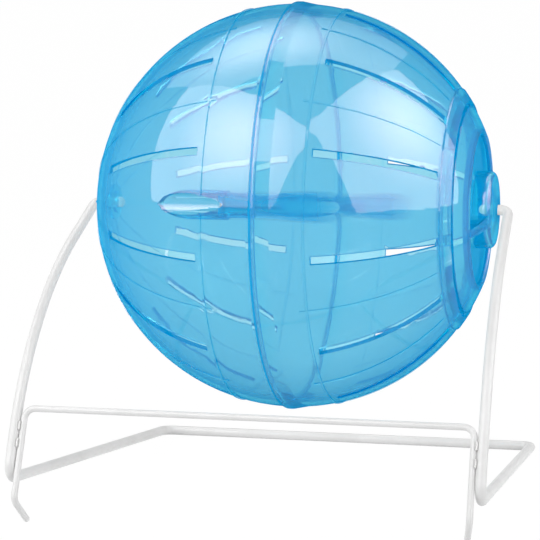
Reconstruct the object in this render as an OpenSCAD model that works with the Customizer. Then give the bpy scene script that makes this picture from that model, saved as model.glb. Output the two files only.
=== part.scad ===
// Pet exercise ball of two moulded shells with a twist lid, carried by a bent wire stand.
// The stand's rear rail and two front feet rest on the floor. X runs along the axle.

/* [Ball] */
// Outer diameter of the ball
ball_d = 180; // [170:1:200]
// Wall thickness of both shells and of the lid
wall_t = 2; // [1.6:0.1:2.6]
// Degrees the ball has rolled back from having its front screw level
ball_turn = 5; // [0:1:20]

/* [Seam] */
// Height of the right shell's rim above the ball
rim_proud = 1; // [0.6:0.1:1.6]
// Width over which the rim blends into the ball
rim_w = 8; // [5:0.5:12]
// Width of the rim's level band next to the seam
rim_land = 1.5; // [1:0.1:3]
// Wall of the rim outside the spigot
rim_wall = 1.8; // [1.2:0.1:2]
// Length of the left shell's spigot inside the rim
lap_l = 1.5; // [1.2:0.1:3]
// Thickness of the spigot
lap_t = 1.4; // [1:0.1:2]
// Radial clearance between spigot and rim
lap_gap = 0.2; // [0.1:0.05:0.3]

/* [Vents and ribs] */
// Number of vent slots around each shell
vent_count = 12; // [8:2:14]
// Width of a vent slot
vent_w = 3.5; // [2.5:0.1:4.5]
// Distance from the seam to the start of the slots
vent_start = 24.5; // [23.5:0.5:32]
// Distance along the axle from the lid opening's edge to the end of the slots
vent_stop = 4.5; // [4.2:0.1:16]
// Width of a raised rib
rib_w = 0.9; // [0.6:0.1:1.6]
// Height of a raised rib
rib_h = 0.35; // [0.2:0.05:0.4]
// Distance from the seam to the start of the ribs
rib_start = 18.9; // [14:0.1:20]
// Distance from the seam to the moulded ring line
ring_x = 22; // [20.5:0.1:22.4]
// Width of the ring line
ring_w = 0.9; // [0.6:0.1:1.4]
// Height of the ring line
ring_h = 0.5; // [0.45:0.05:0.8]

/* [Shell screws] */
// Distance from the axle to a screw
screw_r = 84.5; // [83:0.5:85]
// Diameter of the channel that the screwdriver goes in
channel_d = 9.4; // [8.6:0.2:10.6]
// Wall around the channel
boss_wall = 1.4; // [1.2:0.1:1.8]
// Diameter of the block that the screw clamps
block_d = 10.4; // [9.6:0.2:11.6]
// Length of the block between the screw head and the seam
block_l = 11.5; // [10:0.5:14]
// Diameter of the right shell's screw boss
pilot_d = 8.2; // [7:0.2:9]
// Diameter of the screw's thread
screw_d = 2.9; // [2.5:0.1:3.5]
// Length of the screw below its head
screw_l = 24; // [20:1:28]
// Diameter of the screw head
head_d = 6.4; // [5.5:0.1:7]
// Height of the screw head
head_h = 2.2; // [1.8:0.1:2.6]
// Width of the driver recess
recess_w = 1; // [0.8:0.1:1.2]
// Radial clearance around the screw
screw_gap = 0.1; // [0.05:0.05:0.2]

/* [Lid] */
// Diameter of the opening in the right shell
opening_d = 95.4; // [92:0.2:98]
// Gap between the opening and the lid, which the lid's lugs fill
track_w = 2.2; // [1.8:0.1:2.6]
// Width of the raised band around the opening
band_w = 5.5; // [3.5:0.1:6]
// Height of the raised band
band_h = 0.6; // [0.2:0.1:0.8]
// Wall of the collar inside the opening
collar_t = 1.5; // [1.2:0.1:2]
// Depth of the collar
collar_l = 6; // [5.8:0.1:7]
// Diameter of the finger dish
dish_d = 66; // [62:0.5:70]
// Radius of the rounding on the dish's rim
dish_round = 1.2; // [0.8:0.1:1.6]
// Depth of the dish below its rim
dish_l = 2.75; // [2:0.25:5]
// Width of the grip bar at the hub
bar_w = 7.5; // [6.5:0.5:10]
// Width of the grip bar at the dish's rim
bar_end_w = 3.5; // [3:0.5:6]
// Tilt of the grip bar from level, down towards the front
bar_tilt = 18; // [0:1:40]
// Diameter of the hub that holds the axle
hub_d = 34; // [28:1:38]
// Radius of the rounding on the hub's edge
hub_round = 2.5; // [2:0.25:4]
// Height of the hub's face above the ball
hub_proud = 0.2; // [0.1:0.1:0.4]
// Diameter of the tube around the axle hole
hub_tube_d = 10; // [8:0.5:12]
// Length of the axle hole
hub_l = 5.4; // [5:0.1:7]
// Diameter of the left shell's hub
left_hub_d = 16; // [14:0.5:24]

/* [Lid lock] */
// Number of lugs on the lid
lug_count = 3; // [2:1:3]
// Degrees that one lug covers
lug_arc = 26; // [22:1:30]
// Degrees from the front screw to the lug's near end
lug_angle = 2.8; // [0:0.2:6]
// Degrees that the lid turns to come free
lid_turn = 15; // [13:0.5:16]
// Degrees that a stop covers
stop_arc = 5.2; // [4:0.2:7]
// Thickness of a lug along the axle
lug_t = 2; // [1.6:0.1:2.4]
// Thickness of the keeper lip over a lug
lip_t = 1.5; // [1.2:0.1:1.8]
// Clearance above and below a lug
lug_gap = 0.2; // [0.15:0.05:0.3]

/* [Stand] */
// Diameter of the main wire
wire_d = 4.5; // [3.5:0.1:5.5]
// Diameter of the cross wire
cross_d = 2.8; // [2:0.1:3.4]
// Height of the axle above the floor
axle_h = 127; // [120:1:140]
// Distance from the ball's face to the middle of the upright wire
pole_gap = 4.9; // [4.8:0.1:8]
// Bend radius between upright and axle stub
stub_bend_r = 4.5; // [4:0.1:4.5]
// Length by which an axle stub reaches through its hub
stub_reach = 0.8; // [0.4:0.1:2]
// Clearance around an axle stub
axle_gap = 0.1; // [0.05:0.05:0.3]
// Distance from the axle forward to the front corners
front_reach = 108.5; // [104:0.5:125]
// Distance from the axle back to the rear rail
back_reach = 104; // [95:0.5:125]
// Half width of the stand at the front corners
front_half_w = 99.8; // [98:0.2:108]
// Half width of the stand at the rear corners
back_half_w = 92.8; // [86:0.2:104]
// Height of the front corners above the floor
front_rise = 19.3; // [16:0.1:26]
// Distance from a front corner back to the corner that the upright's bow rounds
knee_back = 28.3; // [24:0.1:32]
// Drop from the axle to that corner
knee_drop = 39; // [34:0.5:44]
// Radius of the upright's bow
bow_r = 150; // [120:1:155]
// Bend radius of the four base corners
corner_bend_r = 5.5; // [4.5:0.1:10]
// Height of the cross wire above the floor
cross_h = 47.6; // [42:0.2:54]
// Bend radius of the cross wire
cross_bend_r = 4.5; // [3.5:0.1:6]
// Height of the bend above a front foot
ankle_h = 11; // [9:0.2:12]
// Distance a foot turns back
foot_back = 9; // [7:0.2:12]
// Distance a foot turns in
foot_in = 2.3; // [1:0.1:4]
// Distance from the cross wire's corner to the middle of the first weld
weld_start = 7.8; // [7:0.2:9]
// Distance between the two welds on a leg
weld_pitch = 7.4; // [6:0.2:10]
// Radius of a weld bead in the groove between the wires
weld_r = 0.5; // [0.4:0.05:0.6]
// Length of a weld bead
weld_l = 3; // [2:0.5:4]

/* [Hidden] */
$fn = 96;

ball_r = ball_d / 2;
inner_r = ball_r - wall_t;
mid_r = ball_r - wall_t / 2;
wire_r = wire_d / 2;
cross_r = cross_d / 2;
// Overrun that every cut runs past what it cuts
over = 1;
// Height at which a circle of radius r on a sphere lies above the seam plane
function cap_h(sphere_r, r) = sqrt(sphere_r * sphere_r - r * r);

// Centre of a rounding of radius round_r that touches a ball of radius sphere_r from inside
function arc_centre(sphere_r, x, round_r) = [x, cap_h(sphere_r - round_r, x)];

// Opening for the lid
opening_r = opening_d / 2;
opening_top = cap_h(ball_r, opening_r);

// Seam
rebate_r = ball_r + rim_proud - rim_wall;
spigot_r = rebate_r - lap_gap;
spigot_end_gap = 0.3;
spigot_root = 2;

// Vents and screws
vent_end = opening_top - vent_stop;
vent_cut_l = 8;
head_dome_share = 0.2;
recess_share = 2 / 3;
recess_floor_share = 1 / 3;
tip_share = 1 / 3;

// Hubs and axle
hub_r = hub_d / 2;
left_hub_r = left_hub_d / 2;
hub_top = ball_r + hub_proud;
bore_r = wire_r + axle_gap;
cap_t = 2;

// Lid and its lock
lid_r = opening_r - track_w;
skirt_t = 1.8;
skirt_drop = 1.1;
side_gap = 0.3;
lip_bottom = opening_top - lip_t;
lug_top = lip_bottom - lug_gap;
lug_bottom = lug_top - lug_t;
pad_top = lug_bottom - lug_gap;
skirt_bottom = lug_bottom - skirt_drop;
collar_bottom = opening_top - collar_l;
stop_slack = 1.4;
dish_r = dish_d / 2;
dish_floor = cap_h(ball_r, dish_r) - dish_l;
rim_centre = arc_centre(ball_r, dish_r + dish_round, dish_round);
// The rounding of the hub's edge crosses the dome instead of just touching it
hub_lift_share = 0.03;
hub_centre = arc_centre(hub_top, hub_r - hub_round, hub_round) + [0, hub_round * hub_lift_share];
bar_wall = 1.8;
bar_hollow_share = 0.7;
lug_pitch = 360 / lug_count;

// Stand, each corner as a point from the middle of the floor
foot_tip_h = cross_r;
knee_in = 0.9;
pole_pt = [ball_r + pole_gap, 0, axle_h];
knee_pt = [front_half_w - knee_in, knee_back - front_reach, axle_h - knee_drop];
front_pt = [front_half_w, -front_reach, front_rise];
back_pt = [back_half_w, back_reach, wire_r];
rail_pt = [0, back_reach, wire_r];
stub_pt = [hub_top - hub_l - stub_reach, 0, axle_h];
leg_dir = unit(front_pt - knee_pt);
inboard = unit([-1, 0, 0] + leg_dir * leg_dir.x);
leg_gap = 0.12;
wire_pitch = wire_r + cross_r + leg_gap;
leg_pt = front_pt + inboard * wire_pitch;
function on_leg(h) = leg_pt + leg_dir * (h - leg_pt.z) / leg_dir.z;
cross_corner = on_leg(cross_h);
ankle_pt = on_leg(ankle_h);
foot_pt = [ankle_pt.x - foot_in, ankle_pt.y + foot_back, foot_tip_h];
cross_mid = [0, cross_corner.y, cross_corner.z];
// The upright's bow ends this far down its leg from the corner that it rounds
bow_end = trim_at(front_pt, knee_pt, pole_pt, bow_r);
bow_side = unit(bend_centre(front_pt, knee_pt, pole_pt, bow_r) - knee_pt - leg_dir * bow_end);
weld_gap = 0.1;
// Coated wire swells this much where it is bent, and the swelling laps over the straight runs
bend_swell = 0.02;
bend_lap = 0.15;

// The stand reaches furthest forward at the bend of each foot
ankle_centre = bend_centre(cross_corner, ankle_pt, foot_pt, cross_bend_r);
front_edge = ankle_centre.y - cross_bend_r - cross_r;
back_edge = back_reach + wire_r;
mid_y = (front_edge + back_edge) / 2;
axle_y = -mid_y;

function unit(v) = v / norm(v);
function turn_at(a, b, c) = acos(unit(b - a) * unit(c - b));
function trim_at(a, b, c, r) = r * tan(turn_at(a, b, c) / 2);
function bend_centre(a, b, c, r) =
    b + unit(unit(a - b) + unit(c - b)) * r / cos(turn_at(a, b, c) / 2);
function plane_at(a, b, c) = unit(cross(b - a, c - b));
// Turn about the wire from one bend's plane to the next
function roll_between(n1, n2, d) = atan2(cross(n1, n2) * d, n1 * n2);

// A round wire that starts at points[0] along +X and is bent at each inner point
module bent_wire(points, radii, r) {
    translate(points[0])
        rotate([0, 90, 0])
            wire_run(points, radii, r, 0, [0, 1, 0]);
}

// One straight run and the bend after it, drawn along Z, with the rest of the wire on its end
module wire_run(points, radii, r, i, last_plane) {
    last = len(points) - 2;
    start_trim = i == 0 ? 0 : trim_at(points[i - 1], points[i], points[i + 1], radii[i - 1]);
    end_trim = i == last ? 0 : trim_at(points[i], points[i + 1], points[i + 2], radii[i]);
    run_l = norm(points[i + 1] - points[i]) - start_trim - end_trim;
    cylinder(h = run_l, r = r);
    translate([0, 0, run_l]) {
        if (i == last) {
            round_end(r);
        } else {
            plane = plane_at(points[i], points[i + 1], points[i + 2]);
            turn = turn_at(points[i], points[i + 1], points[i + 2]);
            roll = roll_between(last_plane, plane, unit(points[i + 1] - points[i]));
            rotate([0, 0, roll])
                translate([radii[i], 0, 0]) {
                    bend(radii[i], turn, r + bend_swell);
                    rotate([0, turn, 0])
                        translate([-radii[i], 0, 0])
                            wire_run(points, radii, r, i + 1, plane);
                }
        }
    }
}

// A bend of a wire of radius r about the Y axis, which laps a little over the straight runs
module bend(bend_r, turn, r) {
    lap = bend_lap / bend_r * 180 / PI;
    rotate([90, 0, 180])
        rotate([0, 0, -lap])
            rotate_extrude(angle = turn + 2 * lap)
                translate([bend_r, 0])
                    circle(r = r);
}

// Half ball of coating that closes a cut wire
module round_end(r) {
    rotate_extrude()
        intersection() {
            circle(r = r);
            square([r, r]);
        }
}

// Places a part drawn with the axle along Z, the front at -Y and the right side at +Z
module on_axle() {
    translate([0, axle_y, axle_h])
        rotate([-ball_turn, 0, 0])
            rotate([0, 90, 0])
                children();
}

// Turns a part drawn along +X to an angle measured up from the front
module at_angle(phi) {
    rotate([0, 0, -90 - phi])
        children();
}

// Section of the spherical wall from radius r0 outwards, grown by h
module wall_section(r0, r1, h = 0) {
    intersection() {
        difference() {
            circle(r = ball_r + h);
            circle(r = inner_r);
        }
        translate([r0, 0])
            square([r1 - r0, ball_r + over]);
    }
}

// Raised line around the shell
module ring_section() {
    intersection() {
        difference() {
            circle(r = ball_r + ring_h);
            circle(r = mid_r);
        }
        translate([0, ring_x - ring_w / 2])
            square([ball_r + over, ring_w]);
    }
}

// One raised rib along a meridian, from the seam side to the height top
module rib(top) {
    rotate([90, 0, 0])
        linear_extrude(height = rib_w, center = true)
            intersection() {
                difference() {
                    circle(r = ball_r + rib_h);
                    circle(r = mid_r);
                }
                translate([0, rib_start])
                    square([ball_r + over, top - rib_start]);
            }
}

// Ribs all round, with one in line with each screw
module ribs(top) {
    for (i = [0 : vent_count - 1])
        at_angle(360 * i / vent_count)
            rib(top);
}

// Cuts for the slots, midway between the ribs
module vent_cuts() {
    slot_r = cap_h(inner_r, vent_end) - vent_cut_l;
    for (i = [0 : vent_count - 1])
        at_angle(360 * (i + 0.5) / vent_count)
            translate([slot_r, -vent_w / 2, vent_start])
                cube([ball_r, vent_w, vent_end - vent_start]);
}

// Places children on both screw axes
module at_screws() {
    for (phi = [0, 180])
        at_angle(phi)
            translate([screw_r, 0, 0])
                children();
}

// Bosses are trimmed inside the skin
module inside_skin() {
    intersection() {
        children();
        sphere(r = mid_r);
    }
}

module left_shell() {
    pocket_l = cap_h(ball_r, screw_r - channel_d / 2 - boss_wall);
    color([0.42, 0.76, 0.93, 0.5])
        on_axle()
            mirror([0, 0, 1])
                difference() {
                    union() {
                        rotate_extrude() {
                            wall_section(left_hub_r - over, ball_r + over);
                            ring_section();
                            translate([spigot_r - lap_t, -lap_l])
                                square([lap_t, lap_l + spigot_root]);
                            translate([0, hub_top - 2 * cap_t])
                                square([left_hub_r, 2 * cap_t]);
                            translate([0, hub_top - hub_l])
                                square([hub_tube_d / 2, hub_l]);
                        }
                        ribs(cap_h(ball_r, left_hub_r));
                        inside_skin()
                            at_screws() {
                                cylinder(h = block_l, d = block_d);
                                translate([0, 0, block_l - boss_wall])
                                    cylinder(h = pocket_l - block_l + boss_wall, r = channel_d / 2 + boss_wall);
                            }
                    }
                    vent_cuts();
                    at_screws() {
                        translate([0, 0, block_l])
                            cylinder(h = ball_r, d = channel_d);
                        translate([0, 0, -lap_l - over])
                            cylinder(h = ball_r, r = screw_d / 2 + screw_gap);
                        translate([0, 0, -lap_l - over])
                            cylinder(h = lap_l + over, r = pilot_d / 2 + spigot_end_gap);
                    }
                    translate([0, 0, -over])
                        cylinder(h = ball_r + 2 * over, r = bore_r);
                }
}

module right_shell() {
    rim_end_r = cap_h(ball_r, rim_w);
    pilot_l = cap_h(inner_r, screw_r - pilot_d / 2) + wall_t;
    hole_l = screw_l - block_l + over;
    color([0.42, 0.76, 0.93, 0.5])
        on_axle()
            difference() {
                union() {
                    rotate_extrude() {
                        difference() {
                            union() {
                                wall_section(opening_r, ball_r + over);
                                polygon([
                                    [mid_r, 0],
                                    [ball_r + rim_proud, 0],
                                    [ball_r + rim_proud, rim_land],
                                    [rim_end_r, rim_w],
                                    [rim_end_r - wall_t / 2, rim_w]
                                ]);
                            }
                            square([rebate_r, lap_l + spigot_end_gap]);
                        }
                        ring_section();
                        wall_section(opening_r, opening_r + band_w, band_h);
                        intersection() {
                            translate([opening_r, collar_bottom])
                                square([collar_t, collar_l + over]);
                            circle(r = ball_r);
                        }
                    }
                    ribs(vent_end);
                    inside_skin()
                        at_screws()
                            cylinder(h = pilot_l, d = pilot_d);
                    lock_track();
                }
                vent_cuts();
                at_screws()
                    translate([0, 0, -over])
                        cylinder(h = hole_l + over, r = screw_d / 2 + screw_gap);
            }
}

// Lips, pads and stops inside the collar, one set for each lug
module lock_track() {
    free_arc = lid_turn + stop_slack;
    lip_from = lug_angle + lug_arc - lid_turn + stop_slack;
    lock_end = lug_angle + lug_arc + stop_slack / 2;
    for (i = [0 : lug_count - 1])
        rotate([0, 0, -lug_pitch * i]) {
            track_block(lip_from, lock_end + stop_arc / 2, lip_bottom, opening_top);
            track_block(lug_angle, lock_end + stop_arc / 2, collar_bottom, pad_top);
            track_block(lock_end, lock_end + stop_arc / 2, collar_bottom, opening_top);
            track_block(lug_angle - free_arc - stop_arc, lug_angle - free_arc, collar_bottom, opening_top);
        }
}

// Block on the inside of the collar between two angles and two heights
module track_block(from, to, bottom, top) {
    at_angle(to)
        rotate_extrude(angle = to - from)
            translate([lid_r + side_gap, bottom])
                square([track_w - side_gap + collar_t / 2, top - bottom]);
}

module screw() {
    difference() {
        union() {
            rotate_extrude()
                intersection() {
                    translate([0, -head_d / 2 + head_h])
                        circle(r = head_d / 2 + head_dome_share * head_h);
                    square([head_d / 2, head_h]);
                }
            translate([0, 0, -screw_l + screw_d])
                cylinder(h = screw_l - screw_d, d = screw_d);
            translate([0, 0, -screw_l])
                cylinder(h = screw_d, d1 = screw_d * tip_share, d2 = screw_d);
        }
        for (a = [0, 90])
            rotate([0, 0, a])
                translate([-head_d / 2 * recess_share, -recess_w / 2, head_h * recess_floor_share])
                    cube([head_d * recess_share, recess_w, head_h + over]);
    }
}

module shell_screws() {
    color("silver")
        on_axle()
            mirror([0, 0, 1])
                at_screws()
                    translate([0, 0, block_l])
                        screw();
}

module lid() {
    color([0.3, 0.7, 0.92, 0.5])
        on_axle()
            difference() {
                union() {
                    rotate_extrude() {
                        intersection() {
                            wall_section(0, lid_r);
                            sector(angle_of(rim_centre), 90, ball_d);
                        }
                        translate(rim_centre)
                            circle(r = dish_round);
                        translate([lid_r - skirt_t, skirt_bottom])
                            square([skirt_t, cap_h(mid_r, lid_r) - skirt_bottom]);
                        translate([dish_r, dish_floor - wall_t])
                            square([wall_t, rim_centre.y - dish_floor + wall_t]);
                        translate([0, dish_floor - wall_t])
                            square([dish_r + wall_t, wall_t]);
                    }
                    grip_bar(0);
                    hub_post(0);
                    for (i = [0 : lug_count - 1])
                        rotate([0, 0, -lug_pitch * i])
                            at_angle(lug_angle + lug_arc)
                                rotate_extrude(angle = lug_arc)
                                    translate([lid_r - skirt_t / 2, lug_bottom])
                                        square([track_w + skirt_t / 2 - side_gap, lug_t]);
                }
                difference() {
                    union() {
                        grip_bar(bar_wall);
                        hub_post(bar_wall);
                    }
                    cylinder(h = ball_r, d = hub_tube_d);
                }
                translate([0, 0, dish_floor - wall_t - over])
                    cylinder(h = hub_top - hub_l - dish_floor + wall_t + over, r = hub_tube_d / 2 + over);
                translate([0, 0, dish_floor - wall_t - over])
                    cylinder(h = ball_r, r = bore_r);
            }
}

// Angle from the axle at which a point of the section lies
function angle_of(p) = atan2(p.x, p.y);

// Sector of a circle between two angles from the axle
module sector(from, to, r) {
    mid = (from + to) / 2;
    polygon([[0, 0], r * [sin(from), cos(from)], r * [sin(mid), cos(mid)], r * [sin(to), cos(to)]]);
}

// Domed hub with a rounded edge, or the hollow under it when it is drawn in by inset
module hub_post(inset) {
    bottom = dish_floor - wall_t - (inset > 0 ? over : 0);
    intersection() {
        sphere(r = hub_top - inset);
        rotate_extrude() {
            translate([0, bottom])
                square([hub_r - hub_round, ball_r]);
            translate([0, bottom])
                square([hub_r - inset, hub_centre.y - bottom]);
            translate(hub_centre)
                circle(r = hub_round - inset);
        }
    }
}

// Bar that runs across the dish, with its top on the ball, or the hollow under it
module grip_bar(inset) {
    bottom = dish_floor - wall_t - (inset > 0 ? over : 0);
    intersection() {
        at_angle(-bar_tilt)
            translate([0, 0, bottom])
                linear_extrude(height = ball_r)
                    bar_outline(inset, inset > 0 ? bar_hollow_share : 1);
        sphere(r = ball_r - inset);
        cylinder(h = ball_r + over, r = dish_r + wall_t / 2);
    }
}

// The bar thins from the hub to the dish's rim
module bar_outline(inset, reach_share) {
    reach = (dish_r + wall_t) * reach_share;
    end_w = bar_w + (bar_end_w - bar_w) * reach_share;
    for (side = [-1, 1])
        polygon([
            [0, inset - bar_w / 2],
            [0, bar_w / 2 - inset],
            [side * reach, end_w / 2 - inset],
            [side * reach, inset - end_w / 2]
        ]);
}

// Right half of the main wire, from the middle of the rear rail to the axle stub
module frame_half() {
    bent_wire(
        [rail_pt, back_pt, front_pt, knee_pt, pole_pt, stub_pt],
        [corner_bend_r, corner_bend_r, bow_r, stub_bend_r],
        wire_r
    );
}

module cross_half() {
    bent_wire([cross_mid, cross_corner, ankle_pt, foot_pt], [cross_bend_r, cross_bend_r], cross_r);
}

// A half of the stand and its mirror image, set so that the stand's middle is over the origin
module both_sides() {
    translate([0, axle_y, 0]) {
        children();
        mirror([1, 0, 0])
            children();
    }
}

module frame_wire() {
    color("whitesmoke")
        both_sides()
            frame_half();
}

module cross_wire() {
    color("whitesmoke")
        both_sides()
            cross_half();
}

// Weld beads in the grooves on both sides of where the cross wire's leg lies against the upright
module weld_spots() {
    color("gainsboro")
        both_sides()
            for (i = [0, 1], side = [-1, 1])
                groove_bead(cross_corner + leg_dir * (weld_start + weld_pitch * i), side);
}

// A bead beside the point p of the leg, as close to the upright, bowed there or not, as to the leg
module groove_bead(p, side) {
    on_bow = max(bow_end - (p - knee_pt) * leg_dir, 0);
    away = inboard * wire_pitch - bow_side * (bow_r - cap_h(bow_r, on_bow));
    apart = norm(away);
    wire_reach = wire_r + weld_gap + weld_r;
    cross_reach = cross_r + weld_gap + weld_r;
    out = (cross_reach * cross_reach - wire_reach * wire_reach + apart * apart) / (2 * apart);
    aside = side * cap_h(cross_reach, out);
    translate(p - unit(away) * out + cross(leg_dir, unit(away)) * aside)
        along(unit(leg_dir - bow_side * on_bow / (2 * bow_r)))
            weld_bead();
}

// A bead with round ends along Z
module weld_bead() {
    cylinder(h = weld_l, r = weld_r, center = true);
    for (end = [-1, 1])
        translate([0, 0, end * weld_l / 2])
            sphere(r = weld_r);
}

// Turns +Z to the direction d
module along(d) {
    rotate([0, acos(d.z), atan2(d.y, d.x)])
        children();
}

left_shell();
right_shell();
shell_screws();
lid();
frame_wire();
cross_wire();
weld_spots();
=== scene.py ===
# Pet exercise ball on a bent wire stand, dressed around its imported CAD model.
from math import cos, radians, sin

import bpy
from mathutils import Matrix, Vector

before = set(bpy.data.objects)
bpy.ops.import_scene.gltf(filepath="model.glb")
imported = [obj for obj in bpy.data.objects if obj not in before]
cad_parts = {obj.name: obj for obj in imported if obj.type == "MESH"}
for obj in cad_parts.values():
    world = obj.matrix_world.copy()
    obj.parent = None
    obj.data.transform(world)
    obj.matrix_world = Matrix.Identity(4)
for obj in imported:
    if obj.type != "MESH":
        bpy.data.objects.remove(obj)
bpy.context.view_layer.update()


# Main wire of the stand: one length of mild steel rod, bent cold to the rear rail, the side
# rails, the bowed uprights and the axle stubs, then dipped in white plastic coating. The
# coating is smooth with a faint orange peel, and it is a little duller where it was handled.

class Sock:
    """One output of the shader being built. Its operators add Math nodes."""

    def __init__(self, tree, socket):
        self.tree = tree
        self.socket = socket

    def math(self, operation, other, flip=False):
        first, second = (other, self) if flip else (self, other)
        return node(self.tree, "ShaderNodeMath", {"operation": operation}, {0: first, 1: second})

    def __add__(self, other):
        return self.math("ADD", other)

    __radd__ = __add__

    def __mul__(self, other):
        return self.math("MULTIPLY", other)

    __rmul__ = __mul__

    def __sub__(self, other):
        return self.math("SUBTRACT", other)

    def __rsub__(self, other):
        return self.math("SUBTRACT", other, flip=True)

    def __truediv__(self, other):
        return self.math("DIVIDE", other)

    def __rtruediv__(self, other):
        return self.math("DIVIDE", other, flip=True)

    def __gt__(self, other):
        return self.math("GREATER_THAN", other)

    def __lt__(self, other):
        return self.math("LESS_THAN", other)

    def at_least(self, other):
        return self.math("MAXIMUM", other)

    def at_most(self, other):
        return self.math("MINIMUM", other)


def node(tree, kind, settings=None, inputs=None, out=0):
    """Adds a node, sets its settings, sets or links its sockets, and gives back one output."""
    made = tree.nodes.new(kind)
    for name, value in (settings or {}).items():
        setattr(made, name, value)
    for name, value in (inputs or {}).items():
        if isinstance(value, Sock):
            tree.links.new(value.socket, made.inputs[name])
        else:
            made.inputs[name].default_value = value
    return Sock(tree, made.outputs[out])


def surface(name):
    """A new material with only its Principled shader and its output."""
    material = bpy.data.materials.new(name)
    material.use_nodes = True
    tree = material.node_tree
    shader = next(n for n in tree.nodes if n.type == "BSDF_PRINCIPLED")
    return material, tree, shader


def feed(tree, shader, **sockets):
    """Sets or links sockets of a shader. An underscore in a name stands for a space."""
    for name, value in sockets.items():
        target = shader.inputs[name.replace("_", " ")]
        if isinstance(value, Sock):
            tree.links.new(value.socket, target)
        else:
            target.default_value = value


def noise(tree, scale, detail=2.0, roughness=0.5):
    """Cloudy values from 0 to 1 in the object's own space."""
    where = node(tree, "ShaderNodeTexCoord", out="Object")
    return node(
        tree, "ShaderNodeTexNoise", None,
        {"Vector": where, "Scale": scale, "Detail": detail, "Roughness": roughness},
    )


def between(tree, value, low, high):
    """Spreads a value from low to high over 0 to 1, held at both ends."""
    return node(
        tree, "ShaderNodeMapRange", {"clamp": True},
        {"Value": value, "From Min": low, "From Max": high},
    )


def blend_colour(tree, share, first, second):
    """A colour between two, by share."""
    return node(
        tree, "ShaderNodeMix", {"data_type": "RGBA"},
        {0: share, 6: (*first, 1.0), 7: (*second, 1.0)}, out=2,
    )


def relief(tree, height, strength, distance):
    """A Normal bumped by a height from 0 to 1."""
    return node(
        tree, "ShaderNodeBump", None,
        {"Height": height, "Strength": strength, "Distance": distance},
    )


def dress(name, material):
    """Gives a CAD node one material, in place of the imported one."""
    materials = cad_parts[name].data.materials
    materials.clear()
    materials.append(material)


COATING_WHITE = (0.82, 0.82, 0.82)
COATING_WORN = (0.75, 0.75, 0.745)

coating, tree, shader = surface("white_wire_coating")
handled = between(tree, noise(tree, scale=45.0, detail=4.0, roughness=0.6), low=0.45, high=0.75)
peel = noise(tree, scale=900.0)
runs = noise(tree, scale=160.0, detail=3.0)
feed(
    tree, shader,
    Base_Color=blend_colour(tree, handled, COATING_WHITE, COATING_WORN),
    Roughness=0.30 + 0.14 * handled,
    Coat_Weight=0.06,
    Coat_Roughness=0.12,
    Specular_IOR_Level=0.18,
    IOR=1.5,
    Normal=relief(tree, 0.6 * peel + 0.4 * runs, strength=0.10, distance=0.0004),
)
dress("frame_wire", coating)

# Cross wire: a thinner rod of the same steel and coating. It runs across the front and down
# both uprights, and its two ends are turned back and in to make the front feet.
dress("cross_wire", coating)

# Weld spots: each leg of the cross wire is resistance welded to the upright in two places,
# and the coating has pulled thin over the small beads left in the groove.
THIN_COATING = (0.70, 0.70, 0.69)
BARE_PIT = (0.42, 0.42, 0.41)

weld_coat, tree, shader = surface("coated_weld")
pits = between(tree, noise(tree, scale=1800.0, detail=3.0, roughness=0.7), low=0.5, high=0.8)
feed(
    tree, shader,
    Base_Color=blend_colour(tree, pits, THIN_COATING, BARE_PIT),
    Roughness=0.42 + 0.2 * pits,
    IOR=1.5,
    Normal=relief(tree, 1.0 - pits, strength=0.35, distance=0.0003),
)
dress("weld_spots", weld_coat)


# Left and right shell: two injection mouldings in clear blue tinted plastic, each with slots,
# ribs and a ring line. The tint is in the plastic, so a wall is pale where it is looked through
# straight and deep blue at rims, slots, ribs and bosses. The faces are polished, with scuffs.

PLASTIC_IOR = 1.64
GLOSS_HELD = 0.085
GLOSS_LOST_AT_RIM = 0.065
GLOSS_LOST_BEHIND = 0.55
GLOSS_TRAPPED = 0.98
GLOSS_ROSE = (1.0, 0.64, 0.60)
FRONT_WALL_DEPTH = 1.5
DEEP_BLUE = (0.003, 0.365, 0.77)
DEEP_BLUE_RIM_SHARE = 0.75
DEPTH_BLUE = (0.002, 0.95, 0.99)
WHITE = (1.0, 1.0, 1.0, 1.0)


def ray(tree, name):
    """One value of the Light Path node."""
    return node(tree, "ShaderNodeLightPath", out=name)


def mix_shaders(tree, share, first, second=None):
    """A shader between two, by share. Without a second one, the first fades to nothing."""
    inputs = {0: share, 1: first}
    if second:
        inputs[2] = second
    return node(tree, "ShaderNodeMixShader", None, inputs)


def to_output(tree, shader, volume=None):
    """Links the finished shader to the output of its tree."""
    out = next(n for n in tree.nodes if n.type.startswith("OUTPUT"))
    tree.links.new(shader.socket, out.inputs["Surface"])
    if volume:
        tree.links.new(volume.socket, out.inputs["Volume"])


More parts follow.
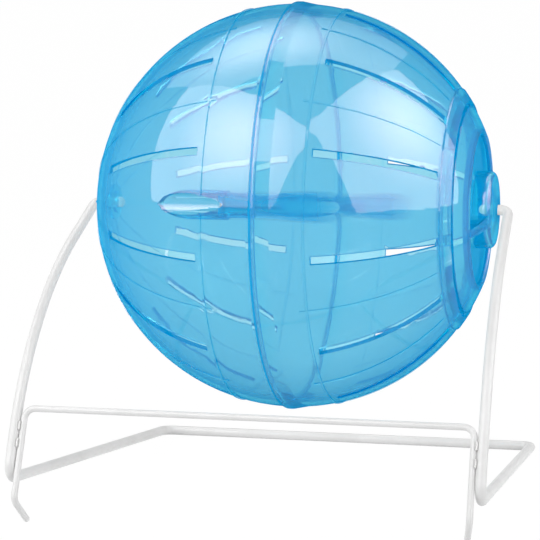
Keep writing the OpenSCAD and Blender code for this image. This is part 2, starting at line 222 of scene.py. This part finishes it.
def tinted_plastic(name, skin, deep_share, density, scuff_scale, thick=None):
    """Clear plastic that bends light: each face gives some deep blue, and its depth takes red."""
    material, tree, shader = surface(name)
    scuffs = noise(tree, scale=scuff_scale, detail=5.0, roughness=0.65)
    scuffs = between(tree, scuffs, low=0.55, high=0.85)
    flow = noise(tree, scale=30.0)
    finish = 0.015 + 0.10 * scuffs
    normal = relief(tree, 0.8 * flow + 0.2 * scuffs, strength=0.05, distance=0.0006)
    feed(
        tree, shader,
        Base_Color=(*skin, 1.0),
        Roughness=finish,
        Transmission_Weight=1.0,
        Specular_Tint=(*GLOSS_ROSE, 1.0),
        IOR=PLASTIC_IOR,
        Normal=normal,
    )
    # The gloss is held down to a small amount, smaller still at the ball's rim. Faces behind
    # the front wall lose over half of it, and light that is trapped in a wall keeps all of it.
    behind = ray(tree, "Ray Depth") > FRONT_WALL_DEPTH
    gloss = node(tree, "ShaderNodeFresnel", None, {"IOR": PLASTIC_IOR, "Normal": normal})
    slant = node(tree, "ShaderNodeLayerWeight", None, {"Blend": 0.5}, out="Facing")
    rim = slant * slant * slant
    spare = (1.0 - (GLOSS_HELD - GLOSS_LOST_AT_RIM * rim) / gloss).at_least(0.0)
    given_up = spare.at_least(GLOSS_LOST_BEHIND * behind) * (gloss < GLOSS_TRAPPED)
    bent = node(
        tree, "ShaderNodeBsdfRefraction", None,
        {
            "Color": (*(channel ** 0.5 for channel in skin), 1.0),
            "Roughness": finish,
            "IOR": PLASTIC_IOR,
            "Normal": normal,
        },
    )
    body = mix_shaders(tree, given_up, Sock(tree, shader.outputs[0]), bent)
    # Slanted walls are looked through the long way, so they give more of the deep blue.
    tint = node(tree, "ShaderNodeBsdfDiffuse", None, {"Color": (*DEEP_BLUE, 1.0)})
    tint_share = deep_share + DEEP_BLUE_RIM_SHARE * rim
    if thick:
        tint_share = tint_share + thick(tree, behind)
    body = mix_shaders(tree, tint_share, body, tint)
    # Light on its way from a lamp or the surround to a dull face passes the plastic freely.
    passing = ray(tree, "Is Shadow Ray").at_least(ray(tree, "Is Diffuse Ray"))
    clear = node(tree, "ShaderNodeBsdfTransparent", None, {"Color": WHITE})
    depth = node(
        tree, "ShaderNodeVolumeAbsorption", None,
        {"Color": (*DEPTH_BLUE, 1.0), "Density": density},
    )
    to_output(
        tree, mix_shaders(tree, passing, body, clear), volume=mix_shaders(tree, passing, depth),
    )
    return material


BALL_MIDDLE = Vector((0, 0.003188, 0.127))
ROLLED_BACK = radians(5.0)
SCREW_REACH = 0.0845
BOSS_CORE, BOSS_EDGE = 0.0056, 0.0070
BLOCK_START, BLOCK_FULL = -0.0140, -0.0135
BOSS_FULL, BOSS_TIP = 0.026, 0.040
BOSS_SHARE = 0.30
LAP_CORE, LAP_EDGE = 0.0005, 0.0008
LAP_SHARE = 0.52
LAP_LOST_BEHIND_SHARE = 0.40


def thick_parts(tree, behind):
    """The extra deep blue of the screw bosses and of the lap at the seam.

    Behind the front wall, the lap keeps only a little of it and the bosses keep it all.
    """
    where = node(tree, "ShaderNodeTexCoord", out="Object")
    along, back, up = (
        node(tree, "ShaderNodeSeparateXYZ", None, {"Vector": where}, out=axis) for axis in "XYZ"
    )
    lap = between(tree, along * along, low=LAP_EDGE ** 2, high=LAP_CORE ** 2)
    total = (LAP_SHARE - LAP_LOST_BEHIND_SHARE * behind) * lap
    length = (
        between(tree, along, low=BLOCK_START, high=BLOCK_FULL)
        * between(tree, along, low=BOSS_TIP, high=BOSS_FULL)
    )
    for side in (-1, 1):
        off_y = back - (BALL_MIDDLE.y + side * SCREW_REACH * cos(ROLLED_BACK))
        off_z = up - (BALL_MIDDLE.z - side * SCREW_REACH * sin(ROLLED_BACK))
        away = off_y * off_y + off_z * off_z
        near = between(tree, away, low=BOSS_EDGE ** 2, high=BOSS_CORE ** 2)
        total = total + BOSS_SHARE * (near * length)
    return total


shell_plastic = tinted_plastic(
    "blue_tinted_shell", skin=(1.0, 0.95, 0.97), deep_share=0.20, density=330.0,
    scuff_scale=130.0, thick=thick_parts,
)
dress("left_shell", shell_plastic)
dress("right_shell", shell_plastic)

# Lid: a third moulding in the same plastic, turned in by its grip bar until its three lugs
# sit behind the lips of the opening.
lid_plastic = tinted_plastic(
    "blue_tinted_lid", skin=(0.95, 0.97, 0.98), deep_share=0.17, density=450.0,
    scuff_scale=150.0,
)
dress("lid", lid_plastic)

# Shell screws: two zinc plated self-tapping screws with cross recesses, at the bottom of the
# channels that the screwdriver goes in.
ZINC_BRIGHT = (0.62, 0.62, 0.63)
ZINC_DULL = (0.45, 0.45, 0.46)

plated, tree, shader = surface("zinc_plated_screw")
brushed = noise(tree, scale=2500.0, roughness=0.6)
feed(
    tree, shader,
    Base_Color=blend_colour(tree, brushed, ZINC_BRIGHT, ZINC_DULL),
    Metallic=1.0,
    Roughness=0.22 + 0.16 * brushed,
)
dress("shell_screws", plated)


# Studio: a white floor and an even white surround. Three large lit panels, at the upper left,
# at the upper right and above behind, stand there for the gloss and for what is seen through
# the plastic. Two soft lamps light the wires.

WHITE_GLOW = 1.0
FILL_GLOW = 0.58
FLOOR_GLOW = 1.03
FLOOR_WHITE_SHARE = 0.93
FLOOR_HALF = 60.0
PANEL_WHITE_SHARE = 0.6
LIGHT_REACH = 1.2
OVERHEAD = Vector((-0.2, 0.45, 1.2))
SOFTBOX_SIZE = 0.6


def sees_white(tree):
    """1 for the rays that should see a plain white background."""
    through_or_gloss = ray(tree, "Is Transmission Ray") + ray(tree, "Is Glossy Ray")
    return (ray(tree, "Is Camera Ray") + through_or_gloss).at_most(1.0)


def flat_square(name, paint, half_size):
    """A flat square or rectangle, which faces up until it is turned."""
    mesh = bpy.data.meshes.new(name)
    mesh.from_pydata([(-1, -1, 0), (1, -1, 0), (1, 1, 0), (-1, 1, 0)], [], [(0, 1, 2, 3)])
    mesh.materials.append(paint)
    square = bpy.data.objects.new(name, mesh)
    square.scale = (*half_size, 1.0)
    bpy.context.collection.objects.link(square)
    return square


def face_the_ball(thing, place, front):
    """Moves a panel or lamp to a place seen from the ball and turns its front to the ball."""
    thing.location = BALL_MIDDLE + place
    thing.rotation_mode = "QUATERNION"
    thing.rotation_quaternion = (-place).to_track_quat(front, "Y")


world = bpy.data.worlds.new("studio")
bpy.context.scene.world = world
world.use_nodes = True
tree = world.node_tree
tree.nodes.remove(tree.nodes["Background"])
fill = node(tree, "ShaderNodeBackground", None, {"Color": WHITE, "Strength": FILL_GLOW})
white = node(tree, "ShaderNodeBackground", None, {"Color": WHITE, "Strength": WHITE_GLOW})
to_output(tree, mix_shaders(tree, sees_white(tree), fill, white))

floor_paint, tree, shader = surface("studio_floor_paint")
feed(tree, shader, Base_Color=(0.93, 0.93, 0.93, 1.0), Roughness=0.9, Specular_IOR_Level=0.0)
lit = Sock(tree, shader.outputs[0])
glow = node(tree, "ShaderNodeEmission", None, {"Color": WHITE, "Strength": FLOOR_GLOW})
to_output(tree, mix_shaders(tree, FLOOR_WHITE_SHARE * sees_white(tree), lit, glow))
floor = flat_square("studio_floor", floor_paint, (FLOOR_HALF, FLOOR_HALF))


def lit_panel(name, place, half_size, core_at, core_size, edge_glow, core_glow):
    """A big glowing panel that faces the ball, with a soft bright core.

    The gloss shows it whole, and seen through the plastic it is nearer to plain white.
    """
    paint, tree, shader = surface(name + "_face")
    tree.nodes.remove(shader)
    where = node(
        tree, "ShaderNodeMapping", {"vector_type": "TEXTURE"},
        {
            "Vector": node(tree, "ShaderNodeTexCoord", out="Object"),
            "Location": (*core_at, 0.0),
            "Scale": (*core_size, 1.0),
        },
    )
    fade = node(
        tree, "ShaderNodeTexGradient", {"gradient_type": "SPHERICAL"},
        {"Vector": where}, out="Fac",
    )
    fade = node(
        tree, "ShaderNodeMapRange", {"interpolation_type": "SMOOTHSTEP"},
        {"Value": fade, "From Min": 0.0, "From Max": 1.0},
    )
    dim = edge_glow / core_glow
    colour = blend_colour(tree, fade, (dim, dim, dim), (1.0, 1.0, 1.0))
    glow = node(tree, "ShaderNodeEmission", None, {"Color": colour, "Strength": core_glow})
    plain = node(tree, "ShaderNodeEmission", None, {"Color": WHITE, "Strength": WHITE_GLOW})
    share = PANEL_WHITE_SHARE * ray(tree, "Is Transmission Ray")
    to_output(tree, mix_shaders(tree, share, glow, plain))
    panel = flat_square(name, paint, half_size)
    face_the_ball(panel, place, "Z")
    panel.visible_diffuse = False
    panel.visible_camera = False


def towards(azimuth, height):
    """A place seen from the ball, at degrees right of the front and degrees up."""
    a, h = radians(azimuth), radians(height)
    return Vector((sin(a) * cos(h), -cos(a) * cos(h), sin(h))) * LIGHT_REACH


lit_panel(
    "left_panel", towards(azimuth=-38, height=33), half_size=(1.05, 0.68),
    core_at=(-0.15, 0.25), core_size=(0.9, 1.1), edge_glow=4.6, core_glow=10.5,
)
lit_panel(
    "right_panel", towards(azimuth=78, height=32), half_size=(0.95, 0.75),
    core_at=(-0.2, 0.2), core_size=(0.9, 1.0), edge_glow=4.6, core_glow=10.5,
)
lit_panel(
    "top_panel", OVERHEAD, half_size=(1.0, 0.6),
    core_at=(-0.2, 0.0), core_size=(0.8, 1.2), edge_glow=3.0, core_glow=7.5,
)


def softbox(name, place, watts):
    """A square lamp that faces the ball and lights the wires. Gloss and plastic don't show it."""
    data = bpy.data.lights.new(name, "AREA")
    data.size = SOFTBOX_SIZE
    data.energy = watts
    lamp = bpy.data.objects.new(name, data)
    bpy.context.collection.objects.link(lamp)
    face_the_ball(lamp, place, "-Z")
    lamp.visible_glossy = False
    lamp.visible_transmission = False


softbox("left_softbox", towards(azimuth=-52, height=12), watts=5.5)
softbox("right_softbox", towards(azimuth=62, height=10), watts=3.8)

cycles = bpy.context.scene.cycles
cycles.max_bounces = 16
cycles.glossy_bounces = 14
cycles.transmission_bounces = 14
cycles.transparent_max_bounces = 40

# Camera: a long lens a little right of the front and a little above, at the distance that
# the photograph's perspective asks for. Its reach and aim are in radii of the ball.
BALL_R = 0.09
LENS = 160.67
TURN = radians(13.63)
RISE = radians(6.73)
REACH, AIM_RIGHT, AIM_UP = 12.0, -0.140, -0.321
BACK = Vector((sin(TURN) * cos(RISE), -cos(TURN) * cos(RISE), sin(RISE)))
RIGHT = Vector((cos(TURN), sin(TURN), 0.0))
UP = BACK.cross(RIGHT)

cam_data = bpy.data.cameras.new("photo_camera")
cam_data.lens = LENS
cam_data.sensor_width = 36.0
camera = bpy.data.objects.new("photo_camera", cam_data)
bpy.context.collection.objects.link(camera)
camera.location = BALL_MIDDLE + BALL_R * (REACH * BACK + AIM_RIGHT * RIGHT + AIM_UP * UP)
camera.rotation_mode = "QUATERNION"
camera.rotation_quaternion = Matrix((RIGHT, UP, BACK)).transposed().to_quaternion()
bpy.context.scene.camera = camera
bpy.context.scene.view_settings.view_transform = "Standard"
